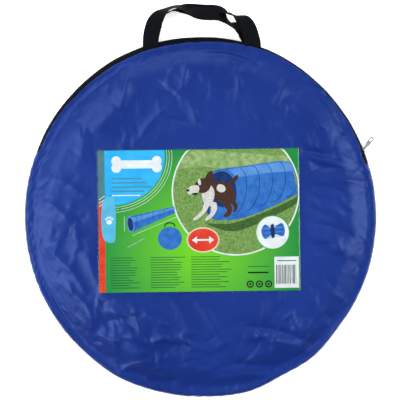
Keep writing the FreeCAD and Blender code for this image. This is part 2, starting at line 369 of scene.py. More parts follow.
def metal(name, colour, roughness, metallic=1.0, scratch=0.00002):
    """Metal, enamel or moulded plastic with a fine grain and worn patches."""
    t = Tree(name)
    grain = t.noise(1500.0, 3.0)
    wear = t.noise(160.0, 4.0)
    shade = t.mix(t.spread(wear, 0.45, 0.75), linear(*colour), linear(*[c * 0.72 for c in colour]))
    normal = t.relief(t.times(grain, scratch), 0.5)
    rough = t.spread(wear, 0.3, 0.8, roughness - 0.05, roughness + 0.15)
    return t.finish(Base_Color=shade, Roughness=rough, Metallic=metallic, Normal=normal)


# Cloth: colour, pale colour, thread pitch and relief in metres, roughness.
nylon = woven("bag_nylon", (11, 34, 103), (16, 41, 115), 0.0009, 0.00002, 0.40, wrinkle=0.0022, shine=0.44)
tunnel_nylon = woven(
    "tunnel_nylon", (16, 50, 140), (26, 64, 160), 0.0008, 0.00002, 0.42, wrinkle=0.0012, shine=0.35
)
tape_cloth = woven("zip_tape_cloth", (8, 9, 10), (13, 14, 16), 0.0007, 0.00005, 0.75, shine=0.04)
hem_nylon = woven("hem_nylon", (20, 46, 128), (30, 58, 146), 0.0008, 0.00003, 0.5, sheen=0.1, wrinkle=0.0006)
ribbon_cloth = woven("ribbon_cloth", (14, 16, 22), (24, 27, 34), 0.0012, 0.00008, 0.5, sheen=0.15)
strap_cloth = woven("webbing", (9, 10, 12), (14, 15, 18), 0.0016, 0.0002, 0.7, shine=0.04)
coil_nylon = metal("zip_coil_nylon", (20, 21, 24), 0.38, metallic=0.0)
enamel = metal("slider_enamel", (158, 161, 163), 0.28, metallic=0.3)
tab_enamel = metal("tab_enamel", (142, 143, 138), 0.34, metallic=0.1)


# ---------------------------------------------------------------- stage


def floor_and_light():
    t = Tree("pale_floor")
    shade = t.mix(t.noise(3.0), linear(250, 250, 250), linear(253, 253, 253))
    surface = t.finish(Base_Color=shade, Roughness=0.75, Emission_Color=(1, 1, 1, 1), Emission_Strength=0.62)
    size = 6.0
    corners = [(-size, -size, 0), (size, -size, 0), (size, size, 0), (-size, size, 0)]
    ground = mesh_object("floor", corners, [(0, 1, 2, 3)], surface, shade=False)
    ground.location.z = -0.0008

    bpy.context.scene.view_settings.view_transform = "Standard"
    world = bpy.data.worlds.new("studio")
    bpy.context.scene.world = world
    world.use_nodes = True
    background = world.node_tree.nodes["Background"]
    background.inputs[0].default_value = (0.95, 0.97, 1.0, 1.0)
    background.inputs[1].default_value = 0.21

    def softbox(name, place, target, size, power):
        lamp = bpy.data.lights.new(name, "AREA")
        lamp.shape = "RECTANGLE"
        lamp.size, lamp.size_y = size
        lamp.energy = power
        obj = linked(name, lamp)
        obj.location = place
        obj.rotation_euler = (Vector(target) - Vector(place)).to_track_quat("-Z", "Y").to_euler()

    softbox("key", (-1.35, -0.35, 1.4), (0, 0, 0), (1.2, 1.2), 38.0)
    softbox("upper", (-1.0, 0.85, 1.55), (0, 0, 0), (0.8, 0.8), 12.5)
    softbox("side", (1.45, 0.15, 1.15), (0, 0, 0), (1.1, 1.1), 27.5)
    softbox("overhead", (0.0, 1.9, 1.2), (0, 0.1, 0), (1.6, 0.8), 16.0)

    camera = bpy.data.cameras.new("camera")
    camera.lens = 100.0
    camera.sensor_width = 36.0
    holder = linked("camera", camera)
    seen_width = 0.594
    height = SEAM_Z + seen_width * camera.lens / camera.sensor_width
    holder.location = (-0.0007, 0.0252, height)
    holder.rotation_euler = (0, 0, 0)
    bpy.context.scene.camera = holder


# ---------------------------------------------------------------- bag cloth

flutter = ring_waves(3, 9, 34)
wander = ring_waves(5, 3, 8)
pucker = ring_waves(11, 40, 110)


def rim(angle):
    """Outer radius of the bag: a slightly tall round, with soft corners, eased where the slider stops."""
    tall_round = RIM_R + 4.6 * MM - 3.2 * MM * np.cos(2 * angle)
    corners = [(2.4, -75, 9), (2.2, -51, 7), (1.6, -118, 7), (-1.6, -63, 6), (-1.2, -38, 8)]
    slider_stop = [(-0.75, 156.4, 3.5)]
    shape = bumps(angle, tall_round, MM, corners + slider_stop)
    return shape + 0.35 * MM * wander(angle) + 0.16 * MM * flutter(angle)


def tape_shown(angle):
    """How much of the front zip tape shows past the cloth's edge, seen from above."""
    return MM * bumps(angle, 4.4, 1, [(4.0, 121, 24), (3.4, 91, 16), (-1.2, 55, 20), (2.6, 19.5, 3.2)])


def seam_r(angle):
    """Radius of the front seam: well inside the rim over the zip, just inside it elsewhere."""
    turn = angle % (2 * np.pi)
    zip_starts = smooth(ZIP_FROM - 0.05, ZIP_FROM + 0.08, turn)
    zip_ends = smooth(ZIP_TO - 0.08, ZIP_TO + 0.05, turn)
    plain = 3.6 * MM
    tuck = plain + (tape_shown(angle) - plain) * (zip_starts * (1 - zip_ends))
    return rim(angle) - tuck + 0.22 * MM * pucker(angle)


def seam_z(angle):
    return SEAM_Z - 4.0 * MM + 0.5 * MM * flutter(angle + 1.3) + 0.3 * MM * pucker(angle + 0.4)


def disc_grid(n):
    """Points of a unit disc on an n by n grid of quads."""
    u, v = np.meshgrid(np.linspace(-1, 1, n), np.linspace(-1, 1, n))
    x = u * np.sqrt(1 - v * v / 2)
    y = v * np.sqrt(1 - u * u / 2)
    edge = (np.abs(u) > 1 - 1e-9) | (np.abs(v) > 1 - 1e-9)
    return x.ravel(), y.ravel(), edge.ravel()


def form_height(r):
    """What the front cloth lies on: the folded tunnel, a little domed, hollow in the middle."""
    hollow = 2.5 * MM * (1 - smooth(0.06, 0.15, r))
    fall = 2.5 * MM * smooth(0.12, 0.23, r)
    shoulder = smooth(0.220, 0.268, r)
    return (TOP_Z - 1.5 * MM - hollow - fall) * (1 - shoulder) + 0.017 * shoulder


def folds(x, y):
    """Folds laid one by one: each is a short bent line, with a height and a width."""
    height = np.zeros_like(x)
    for line in FOLD_LINES:
        x0, y0, x1, y1, rise, width = (value * MM for value in line)
        dx, dy = x1 - x0, y1 - y0
        length = math.hypot(dx, dy)
        along = np.clip(((x - x0) * dx + (y - y0) * dy) / length**2, 0, 1)
        bend = 0.06 * length * np.sin(np.pi * along)
        away = np.hypot(x - x0 - along * dx + bend * dy / length, y - y0 - along * dy - bend * dx / length)
        fade = np.sin(np.pi * np.clip(along, 0.04, 0.96)) ** 0.6
        crest = 0.35 * width
        height += rise * fade * np.exp(-(np.hypot(away, crest) - crest) / (0.75 * width))
    return height


def crumples(x, y):
    """Small sharp creases with flat facets between, in the patches where the cloth is bunched."""
    rng = np.random.RandomState(77)
    height = np.zeros_like(x)
    for heading, spread, near, far, count, lean, loose, rise in CREASE_PATCHES:
        for _ in range(count):
            at = math.radians(heading + spread * rng.uniform(-1, 1))
            r = rng.uniform(near * MM, far * MM)
            turn = at + math.radians(lean + loose * rng.normal())
            half = rng.uniform(0.010, 0.026)
            dx, dy = x - r * math.cos(at), y - r * math.sin(at)
            u = dx * math.cos(turn) + dy * math.sin(turn)
            v = dy * math.cos(turn) - dx * math.sin(turn) + rng.uniform(-9, 9) * u * u
            crest = 0.0016
            profile = np.exp(-(np.hypot(v, crest) - crest) / (0.22 * half))
            height += rise * MM * rng.choice([-0.7, 1.0]) * profile * np.clip(1 - (u / half) ** 2, 0, 1)
    return height


# Heading and its spread in degrees, nearest and farthest radius in millimetres, how many, their lean
# and its spread in degrees from straight out, and their height in millimetres.
CREASE_PATCHES = [
    (-150, 26, 175, 245, 26, 62, 24, 1.1), (-118, 22, 165, 245, 40, 100, 34, 1.3),
    (-86, 20, 180, 245, 24, 80, 36, 1.0), (-58, 18, 165, 245, 22, 100, 26, 1.2),
    (-20, 20, 180, 250, 16, -20, 20, 0.9), (14, 14, 170, 250, 20, -24, 14, 1.0),
    (48, 22, 150, 245, 24, 70, 34, 0.8), (92, 24, 130, 245, 30, 10, 40, 0.8),
    (135, 20, 150, 245, 20, -30, 28, 1.0), (178, 14, 175, 245, 14, 40, 28, 1.0),
]

# Start x and y, end x and y, height and width, in millimetres.
FOLD_LINES = [
    (-108, 235, -122, 150, 2.8, 14), (-122, 165, -165, 125, 2.6, 16), (-172, 140, -182, 75, 1.8, 14),
    (-95, 110, -45, 165, 1.3, 6), (-80, 205, -35, 178, -1.4, 4), (-58, 198, -30, 180, 1, 4),
    (-55, 145, 5, 131, -1.4, 4), (-22, 240, -30, 185, 1.4, 6), (-20, 175, -6, 140, 0.9, 5),
    (5, 250, 85, 232, -1.4, 4), (10, 244, 80, 226, 1, 5), (55, 215, 52, 165, 0.9, 5),
    (70, 196, 15, 190, -0.8, 4), (125, 200, 105, 160, 1.2, 6), (160, 190, 205, 120, 1.8, 12),
    (152, 98, 205, 82, -1.8, 5), (150, 88, 215, 72, 1.2, 5), (160, 68, 225, 70, -1.2, 4),
    (185, 52, 250, 48, 1.3, 7), (165, -10, 240, -35, -1.4, 6), (160, -28, 225, -55, 1.2, 8),
    (60, -162, 170, -190, -2.2, 7), (70, -176, 165, -205, 1.4, 8), (20, -225, 110, -222, -1.8, 7),
    (15, -243, 120, -240, 1.6, 8), (-240, 30, -190, -10, 1.2, 6), (-225, 60, -175, 35, 1.4, 7),
    (-235, -40, -165, -120, 1.8, 10), (-205, -100, -150, -160, 1.6, 8), (-190, -30, -118, -150, 3.2, 20),
    (-135, -120, -85, -215, 2.8, 18), (-120, -230, -80, -215, 1.4, 5), (-70, -215, -20, -205, 1.2, 6),
    (-10, -120, 30, -185, 1.2, 9), (-45, -115, -10, -190, 0.9, 10),
]


def slack(x, y):
    """Spare cloth, from 0 to 1: most where the bag is bunched, least under the card."""
    heading = np.degrees(np.arctan2(y, x))
    r = np.hypot(x, y)
    spare = 0.15 + 0.7 * bell(heading + 125, 45) + 0.5 * bell(heading + 55, 30)
    spare = spare + 0.35 * bell(np.abs(heading) - 180, 40)
    return np.clip(0.15 + smooth(0.10, 0.20, r) * spare, 0, 1)


def front_cloth():
    """The round front: spare cloth pinned at the seam and dropped on the folded tunnel."""
    n = 131
    x, y, edge = disc_grid(n)
    angle, share = np.arctan2(y, x), np.hypot(x, y)
    r = share * seam_r(angle)
    x, y = r * np.cos(angle), r * np.sin(angle)
    rim_share = smooth(0.8, 1.0, share)
    z = seam_z(angle) * rim_share + form_height(r) * (1 - rim_share)
    z = np.where(edge, seam_z(angle), z + 1.5 * MM + 0.6 * MM * waves(21, 9, 0.02, 0.07)(x, y))
    obj = mesh_object("front_cloth", np.stack([x, y, z], 1), grid_faces(n, n), nylon)
    drape(obj, edge, slack(x, y))
    settle(refined(obj))
    points = read_points(obj.data)
    x, y = points[:, 0], points[:, 1]
    angle = np.arctan2(y, x)
    out = np.hypot(x, y) - seam_r(angle)
    inside = smooth(0.3 * MM, 14 * MM, -out)
    points[:, 2] += (2.1 * folds(x, y) + 1.5 * crumples(x, y)) * inside
    band = bell(out + 12.5 * MM, 2.2 * MM) * (0.7 + 0.5 * wander(angle * 2))
    gathers = bell(out + 5 * MM, 4 * MM) * pucker(angle + 0.3 * out / 0.01)
    points[:, 2] += -0.5 * MM * band + 0.35 * MM * gathers
    write_points(obj.data, points)
    smooth_shaded(obj.data)
    return thicken(obj, 0.25 * MM)


def drape(obj, edge, spare):
    """Simulate the cloth over the folded tunnel, then keep the result as a plain mesh."""
    rr, aa = np.meshgrid(np.linspace(0.002, 0.262, 60), round_turn(120), indexing="ij")
    form = mesh_object("form", polar(rr, aa, form_height(rr)), grid_faces(60, 120, wrap=True)[:, ::-1])
    form.modifiers.new("collision", "COLLISION")
    form.collision.thickness_outer = 0.0008
    form.collision.cloth_friction = 8.0

    pin = obj.vertex_groups.new(name="pin")
    pin.add([int(i) for i in np.nonzero(edge)[0]], 1.0, "REPLACE")
    loose = obj.vertex_groups.new(name="spare")
    for step in range(11):
        chosen = np.nonzero(np.round(spare * 10) == step)[0]
        loose.add([int(i) for i in chosen], step / 10, "REPLACE")
    modifier = obj.modifiers.new("cloth", "CLOTH")
    cloth = modifier.settings
    cloth.quality = 5
    cloth.mass = 0.12
    cloth.tension_stiffness = cloth.compression_stiffness = 18.0
    cloth.shear_stiffness = 6.0
    cloth.bending_stiffness = 0.35
    cloth.tension_damping = cloth.compression_damping = cloth.shear_damping = 12.0
    cloth.air_damping = 2.0
    cloth.vertex_group_mass = "pin"
    cloth.vertex_group_shrink = "spare"
    cloth.shrink_min = 0.0
    cloth.shrink_max = -0.07
    modifier.collision_settings.use_self_collision = False
    modifier.collision_settings.distance_min = 0.0008
    last = 24
    modifier.point_cache.frame_start, modifier.point_cache.frame_end = 1, last
    for step in range(1, last + 1):
        bpy.context.scene.frame_set(step)
    settle(obj)
    bpy.data.objects.remove(form)
    bpy.context.scene.frame_set(1)


def back_cloth():
    """The round back, pressed flat by the load on it, turned up a little at its seam."""
    n = 61
    x, y, edge = disc_grid(n)
    angle, share = np.arctan2(y, x), np.hypot(x, y)
    r = share * (rim(angle) - BACK_SEAM)
    x, y = r * np.cos(angle), r * np.sin(angle)
    z = 0.25 * MM + 0.2 * MM * waves(31, 14, 0.02, 0.09)(x, y) ** 2 + 0.5 * MM * smooth(0.965, 1.0, share)
    obj = mesh_object("back_cloth", np.stack([x, y, z], 1), grid_faces(n, n)[:, ::-1], nylon)
    return refined(thicken(obj, 0.25 * MM))


def side_points(angle, share):
    """Points on the bag's side: share 0 is the back seam and 1 the front seam."""
    low_r = rim(angle) - BACK_SEAM
    high_r = seam_r(angle)
    r = low_r + (high_r - low_r) * share
    swell = np.sin(np.pi * share) ** 0.75
    r = r + swell * (rim(angle) - (low_r + high_r) / 2) + 0.35 * MM * swell * pucker(angle + 0.8 * share)
    return polar(r, angle, 0.6 * MM + (seam_z(angle) - 0.6 * MM) * share)


def side_cloth():
    """The strip of cloth between the two round panels, on the stretch that has no zip."""
    angles = np.linspace(ZIP_TO - 0.01, ZIP_FROM + 2 * np.pi + 0.01, 700)
    aa, ss = np.meshgrid(angles, np.linspace(0, 1, 15))
    obj = mesh_object("side_cloth", side_points(aa, ss), grid_faces(15, 700), nylon)
    return refined(thicken(obj, 0.4 * MM))


def cloth_height(obj):
    """A function that gives the height of a cloth's upper side at a place."""
    mesh = obj.data
    faces = [tuple(face.vertices) for face in mesh.polygons]
    tree = BVHTree.FromPolygons([tuple(vert.co) for vert in mesh.vertices], faces)

    def height(x, y):
        hit = tree.ray_cast(Vector((x, y, 0.2)), Vector((0, 0, -1)))[0]
        return hit.z if hit else TOP_Z

    return height


def stitch_row(name, radius, height, material):
    """A ring of small thread stitches lying on a cloth."""
    pitch = 4.6 * MM
    count = int(2 * math.pi * RIM_R / pitch)
    points, faces = [], []
    for a in round_turn(count):
        base = len(points)
        for along, lift in ((-1.5, 0.0), (-0.7, 0.3), (0.7, 0.3), (1.5, 0.0)):
            turn = a + along * MM / RIM_R
            for side in (-0.22, 0.22):
                r = float(radius(np.array(turn))) + side * MM
                x, y = r * math.cos(turn), r * math.sin(turn)
                points.append((x, y, height(x, y) + lift * MM))
        faces += [(base + i, base + i + 1, base + i + 3, base + i + 2) for i in (0, 2, 4)]
    return thicken(mesh_object(name, points, faces, material), 0.2 * MM, 1)


# ---------------------------------------------------------------- zip


def coil_r(angle):
    return rim(angle) - 0.6 * MM


def gape(angle):
    """How far the two rows stand apart: closed behind the slider, parted ahead of it."""
    parts = smooth(math.radians(16.5), math.radians(19), angle)
    closes = smooth(math.radians(20.5), math.radians(24), angle)
    return 1.3 * MM * (1 - closes) * parts


def zip_tape(front_side):
    """One tape, from its row of teeth to the seam, with its woven edge."""
    aa, ss = np.meshgrid(np.linspace(ZIP_FROM, ZIP_TO, 420), np.linspace(0, 1, 7))
    sign = 1 if front_side else -1
    start_z = COIL_MID + sign * (0.9 * MM + gape(aa))
    end_r = seam_r(aa) - 0.3 * MM if front_side else rim(aa) - 4.0 * MM
    end_z = seam_z(aa) - 0.2 * MM if front_side else 0.7 * MM
    r = coil_r(aa) + (end_r - coil_r(aa)) * ss**1.6
    z = start_z + (end_z - start_z) * ss
    r = r + 0.12 * MM * pucker(aa * 1.7) * np.sin(np.pi * ss)
    name = "zip_tape_front_cloth" if front_side else "zip_tape_back_cloth"
    faces = grid_faces(7, 420)[:, ::sign]
    obj = mesh_object(name, polar(r, aa, z), faces, tape_cloth)
    return thicken(obj, 0.5 * MM, 0)


def zip_row(front_side):
    """One row of moulded coil turns, each a rounded hook lying across the tape's edge."""
    pitch = 0.00145
    count = int((ZIP_TO - ZIP_FROM - 0.05) * RIM_R / pitch)
    angles = np.linspace(ZIP_FROM + 0.02, ZIP_TO - 0.03, count) + (0 if front_side else pitch / 2 / RIM_R)
    sign = 1 if front_side else -1
    outline = [(-0.32, 0.0), (-0.36, 0.75), (-0.26, 1.2), (0.26, 1.2), (0.36, 0.75), (0.32, 0.0)]
    points, faces = [], []
    for a in angles:
        base = len(points)
        middle_r, lift = coil_r(np.array(a)), float(gape(np.array(a)))
        for reach, shrink in ((-0.1, 1.0), (2.2, 1.0), (2.75, 0.6)):
            for across, out in outline:
                turn = a + across * shrink * MM / RIM_R
                r = middle_r + (out * (0.6 + 0.4 * shrink) - 0.45) * MM
                z = COIL_MID + sign * (lift + (2.1 - reach) * MM)
                points.append((r * math.cos(turn), r * math.sin(turn), z))
        for row in (0, 1):
            for k in range(6):
                a0, a1 = base + row * 6 + k, base + row * 6 + (k + 1) % 6
                faces.append((a0, a1, a1 + 6, a0 + 6) if front_side else (a0 + 6, a1 + 6, a1, a0))
        for row in (0, 2):
            cap = [base + row * 6 + k for k in range(6)]
            faces.append(cap if (row == 2) == front_side else cap[::-1])
    return mesh_object("zip_teeth_front" if front_side else "zip_teeth_back", points, faces, coil_nylon)


def ride_fold(obj):
    """Bake a cloth's placement into its mesh."""
    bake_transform(obj)


def make_zip():
    """Both tapes and both rows of teeth."""
    tape, row = zip_tape(True), zip_row(True)
    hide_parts("zip_tape_front", "zip_front_end_right", "zip_front_end_left")
    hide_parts("zip_coil_front")
    for obj, slot in ((tape, "zip_cloth"), (row, "zip_coil")):
        ride_fold(obj)
    stands_for(zip_tape(False), "zip_tape_back", "bag")
    stands_for(zip_row(False), "zip_coil_back", "bag")


# ---------------------------------------------------------------- card and film


def bilinear(grid, u, v):
    """Read a grid of heights at places given from 0 to 1 along each side."""
    rows, columns = grid.shape
    x = np.clip(u, 0, 1) * (columns - 1)
    y = np.clip(v, 0, 1) * (rows - 1)
    x0 = np.minimum(x.astype(int), columns - 2)
    y0 = np.minimum(y.astype(int), rows - 2)
    fx, fy = x - x0, y - y0
    return (
        grid[y0, x0] * (1 - fx) * (1 - fy) + grid[y0, x0 + 1] * fx * (1 - fy)
        + grid[y0 + 1, x0] * (1 - fx) * fy + grid[y0 + 1, x0 + 1] * fx * fy
    )


class Card:
    """The printed card: it lies on the cloth, stiff enough to smooth out its small folds."""

    MARGIN = 0.02

    def __init__(self, cloth):
        height = cloth_height(cloth)
        us = np.linspace(-self.MARGIN, LABEL_W + self.MARGIN, 58)
        vs = np.linspace(-self.MARGIN, LABEL_H + self.MARGIN, 43)
        heights = np.array([[height(*self.place(u, v)) for u in us] for v in vs])
        for _ in range(60):
            padded = np.pad(heights, 1, mode="edge")
            beside = padded[:-2, 1:-1] + padded[2:, 1:-1] + padded[1:-1, :-2] + padded[1:-1, 2:]
            heights = (beside + 2 * heights) / 6
        self.heights = heights + 1.3 * MM + 0.5 * MM * waves(41, 7, 0.09, 0.22)(*np.meshgrid(us, vs))

    def place(self, u, v):
        """The frame's x and y of a place on the card, given from the card's lower left corner."""
        du, dv = u - LABEL_W / 2, v - LABEL_H / 2
        c, s = math.cos(LABEL_TURN), math.sin(LABEL_TURN)
        return LABEL_MID.x + du * c - dv * s, LABEL_MID.y + du * s + dv * c

    def height(self, u, v):
        share_u = (u + self.MARGIN) / (LABEL_W + 2 * self.MARGIN)
        share_v = (v + self.MARGIN) / (LABEL_H + 2 * self.MARGIN)
        return bilinear(self.heights, share_u, share_v)

    def press_cloth(self, cloth):
        """Hold the cloth under the card just below it."""
        points = read_points(cloth.data)
        x, y = points[:, 0] - LABEL_MID.x, points[:, 1] - LABEL_MID.y
        c, s = math.cos(LABEL_TURN), math.sin(LABEL_TURN)
        u, v = x * c + y * s + LABEL_W / 2, -x * s + y * c + LABEL_H / 2
        out = np.maximum(np.maximum(-u, u - LABEL_W), np.maximum(-v, v - LABEL_H))
        hold = 1 - smooth(0.004, 0.018, out)
        ceiling = self.height(u, v) - 0.7 * MM
        z = points[:, 2]
        points[:, 2] = z + hold * (np.minimum(z, ceiling) - z)
        write_points(cloth.data, points)

    def sheet(self, name, margin, lift, material, thickness):
        """A sheet as large as the card plus a margin, with rounded corners."""
        outline = rounded_box(-margin, -margin, 297 + margin, 210 + margin, 2.0)
        obj = self.patch(name, [(outline, 0, 0)], [material], lift)
        return thicken(obj, thickness, 1)

    def patch(self, name, shapes, materials, lift, layer=0.03):
        """Flat shapes in millimetres laid on the card. Each is (outline, material number, layer)."""
        parts, step = [], 7.0
        for outline, chosen, level in shapes:
            piece = bmesh.new()
            piece.faces.new([piece.verts.new((u, v, 0)) for u, v in outline])
            for axis, values in enumerate(zip(*outline)):
                at = math.ceil(min(values) / step) * step
                while at < max(values):
                    point, normal = [0, 0, 0], [0, 0, 0]
                    point[axis], normal[axis] = at, 1
                    geometry = piece.verts[:] + piece.edges[:] + piece.faces[:]
                    bmesh.ops.bisect_plane(piece, geom=geometry, plane_co=point, plane_no=normal)
                    at += step
            bmesh.ops.triangulate(piece, faces=[f for f in piece.faces if len(f.verts) > 4])
            for face in piece.faces:
                face.material_index = chosen
                if face.normal.z < 0:
                    face.normal_flip()
            for vert in piece.verts:
                u, v = vert.co.x * MM, vert.co.y * MM
                z = float(self.height(np.array(u), np.array(v))) + lift + level * layer * MM
                vert.co = (*self.place(u, v), z)
            parts.append(written("part", piece))
        obj = merged(name, parts, materials)
        smooth_shaded(obj.data)
        return obj


def rounded_box(left, low, right, high, radius):
    """The outline of a box with rounded corners."""
    outline = []
    left, low, right, high = left + radius, low + radius, right - radius, high - radius
    for k, (cx, cy) in enumerate(((right, high), (left, high), (left, low), (right, low))):
        for step in range(5):
            a = math.radians(90 * k + step * 22.5)
            outline.append((cx + radius * math.cos(a), cy + radius * math.sin(a)))
    return outline


def oval(u, v, half_u, half_v, turn=0.0, count=40, start=0.0, stop=360.0):
    """An oval or a part of one, about its centre and turned by some degrees."""
    c, s = math.cos(math.radians(turn)), math.sin(math.radians(turn))
    outline = []
    for k in range(count):
        a = math.radians(start + (stop - start) * k / (count if stop - start == 360 else count - 1))
        x, y = half_u * math.cos(a), half_v * math.sin(a)
        outline.append((u + x * c - y * s, v + x * s + y * c))
    return outline


def curve(points, steps=4):
    """A closed smooth outline through a few points."""
    outline, count = [], len(points)
    for k in range(count):
        near = [np.array(points[(k + d) % count], float) for d in (-1, 0, 1, 2)]
        outline += [tuple(spline(*near, step / steps)) for step in range(steps)]
    return outline


def bar(u0, v0, u1, v1, width):
    """A straight line with a width."""
    du, dv = u1 - u0, v1 - v0
    length = math.hypot(du, dv)
    nu, nv = -dv / length * width / 2, du / length * width / 2
    return [(u0 + nu, v0 + nv), (u1 + nu, v1 + nv), (u1 - nu, v1 - nv), (u0 - nu, v0 - nv)]


def clip(outline, u, v, radius):
    """The part of an outline within a circle that also stays on the card."""
    def pull(p):
        du, dv = p[0] - u, p[1] - v
        far = math.hypot(du, dv)
        share = min(1.0, radius / far) if far > 0 else 1.0
        return (min(u + du * share, 296.6), min(v + dv * share, 209.6))

    return [pull(p) for p in outline]


def ink(name, colour, other=None, scale=60.0):
    """Printed colour with a faint mottle under the clear film."""
    t = Tree("print_" + name)
    other = other or [c * 0.93 for c in colour]
    shade = t.mix(t.spread(t.noise(scale, 3.0), 0.35, 0.65), linear(*colour), linear(*other))
    return t.printed(shade, 0.3)


def green_ink():
    """The card's green ground, lime round the middle and deeper to the edges."""
    t = Tree("print_green")
    lower = t.add("VectorMath", {"operation": "DISTANCE"}, i0=t.place, i1=(0.0, -0.045, 0.037)).outputs[1]
    far = t.spread(lower, 0.02, 0.15)
    shade = t.mix(far, linear(118, 214, 36), linear(24, 140, 66))
    shade = t.mix(t.times(t.noise(40.0, 3.0), 0.12), shade, linear(90, 190, 70))
    return t.printed(shade, 0.4)


def inks():
    """All printed colours, in the order that shapes name them."""
    made = {"green": green_ink()}
    for name, *look in (
        ("cyan", (44, 178, 240), (60, 190, 248)), ("white", (244, 247, 245)), ("teal", (86, 132, 140)),
        ("red", (226, 58, 40), (236, 76, 52)), ("cream", (246, 226, 190)), ("tab", (96, 196, 232)),
        ("grass", (96, 140, 62), (142, 172, 98), 320.0), ("meadow", (126, 160, 84), (168, 192, 130), 150.0),
        ("blue", (44, 104, 186), (60, 124, 204), 120.0), ("pale", (104, 158, 222), (84, 140, 210), 90.0),
        ("navy", (22, 44, 96), (30, 60, 120), 200.0), ("brown", (62, 40, 32), (88, 58, 44), 400.0),
        ("fur", (236, 230, 222), (206, 198, 190), 400.0), ("dark", (26, 96, 52), (34, 104, 60)),
        ("black", (24, 26, 26)), ("grey", (188, 196, 200)), ("shade", (58, 92, 40), (76, 112, 52), 260.0),
    ):
        made[name] = ink(name, *look)
    return made


